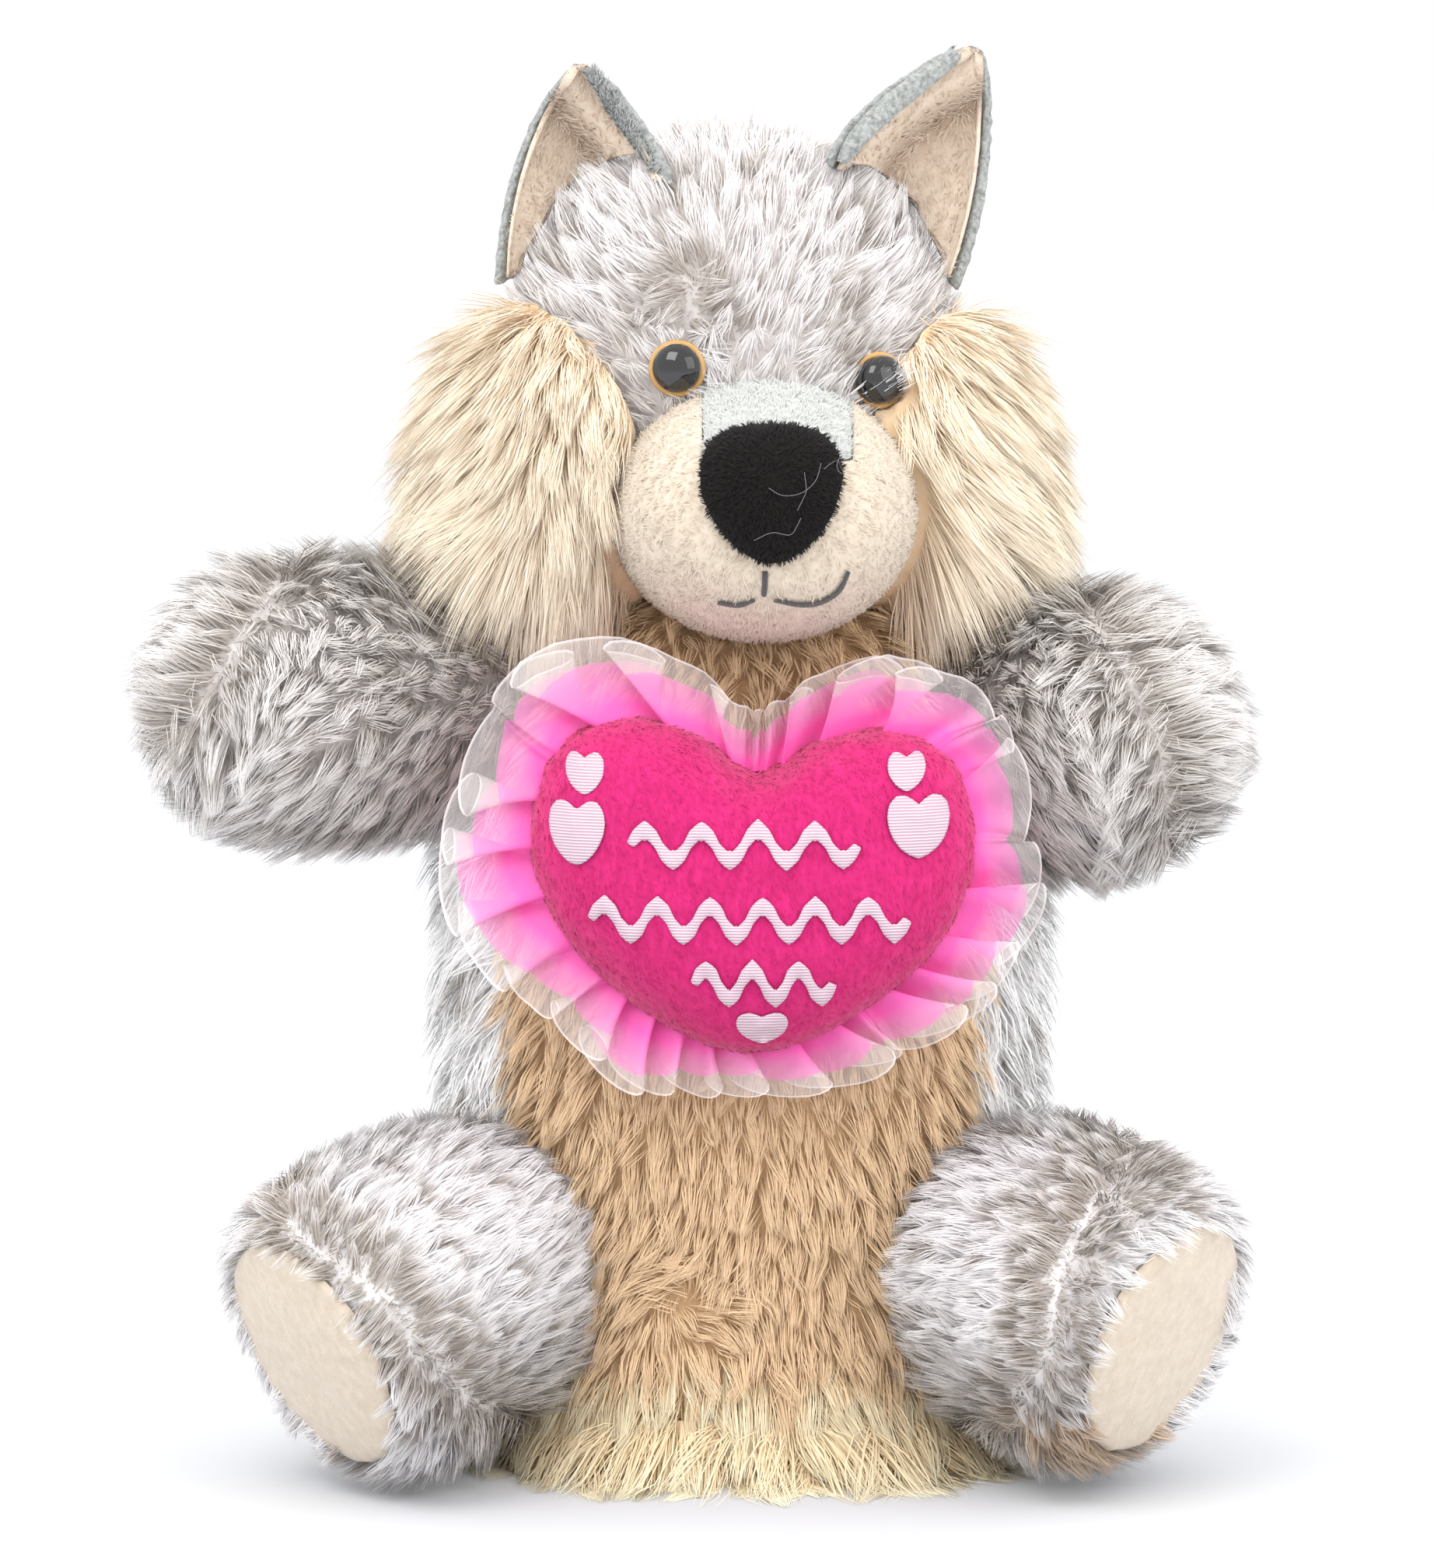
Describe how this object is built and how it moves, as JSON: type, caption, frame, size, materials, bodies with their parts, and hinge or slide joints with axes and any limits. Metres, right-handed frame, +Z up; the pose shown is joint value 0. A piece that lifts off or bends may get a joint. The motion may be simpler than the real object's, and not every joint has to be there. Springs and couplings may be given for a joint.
{
  "type": "wolf hand puppet",
  "caption": "Plush wolf hand puppet with long cream cheek ruffs, holding a pink heart cushion with a gathered organza ruffle",
  "frame": {"origin": "middle of the standing puppet's box, on the surface that the hem stands on", "axes": "+Z up, the puppet faces -Y, +X to the viewer's right"},
  "size_m": [0.2306, 0.1492, 0.2966],
  "materials": {
    "grey_plush": "long-pile grey and white frosted plush",
    "tan_plush": "medium-pile tan plush",
    "cream_plush": "long-pile cream plush",
    "cream_minky": "short-pile cream minky",
    "pale_grey_minky": "short-pile pale grey minky",
    "grey_fleece": "flecked grey fleece",
    "black_velour": "short-pile black velour",
    "thread": "white satin-stitch embroidery thread",
    "dark_thread": "dark stitching thread",
    "pink_minky": "short-pile hot pink minky",
    "pink_organza": "sheer pink organza",
    "amber_plastic": "glossy amber plastic",
    "black_plastic": "glossy black plastic",
    "white_plastic": "matt white plastic",
    "fibrefill": "white polyester fibrefill",
    "tricot": "thin knitted lining"
  },
  "bodies": {
    "root": {"back_panel": "grey_plush", "belly_panel": "tan_plush", "bottom_heart": "thread", "finger_pocket": "tricot", "head_cover": "grey_plush", "head_stuffing": "fibrefill", "heart_back": "pink_minky", "heart_front": "pink_minky", "heart_ruffle": "pink_organza", "heart_stuffing": "fibrefill", "hem_band": "cream_plush", "left_arm": "grey_plush", "left_cheek": "cream_plush", "left_ear_back": "grey_fleece", "left_ear_lining": "cream_minky", "left_eye_iris": "amber_plastic", "left_eye_pupil": "black_plastic", "left_eye_washer": "white_plastic", "left_leg": "grey_plush", "left_leg_stuffing": "fibrefill", "left_mouth_stitch": "dark_thread", "left_sole": "cream_minky", "lower_garland": "thread", "lower_left_heart": "thread", "lower_right_heart": "thread", "middle_garland": "thread", "muzzle": "cream_minky", "muzzle_bridge": "pale_grey_minky", "muzzle_stuffing": "fibrefill", "nose": "black_velour", "philtrum_stitch": "dark_thread", "right_arm": "grey_plush", "right_cheek": "cream_plush", "right_ear_back": "grey_fleece", "right_ear_lining": "cream_minky", "right_eye_iris": "amber_plastic", "right_eye_pupil": "black_plastic", "right_eye_washer": "white_plastic", "right_leg": "grey_plush", "right_leg_stuffing": "fibrefill", "right_mouth_stitch": "dark_thread", "right_sole": "cream_minky", "upper_garland": "thread", "upper_left_heart": "thread", "upper_right_heart": "thread"}
  },
  "joints": []
}
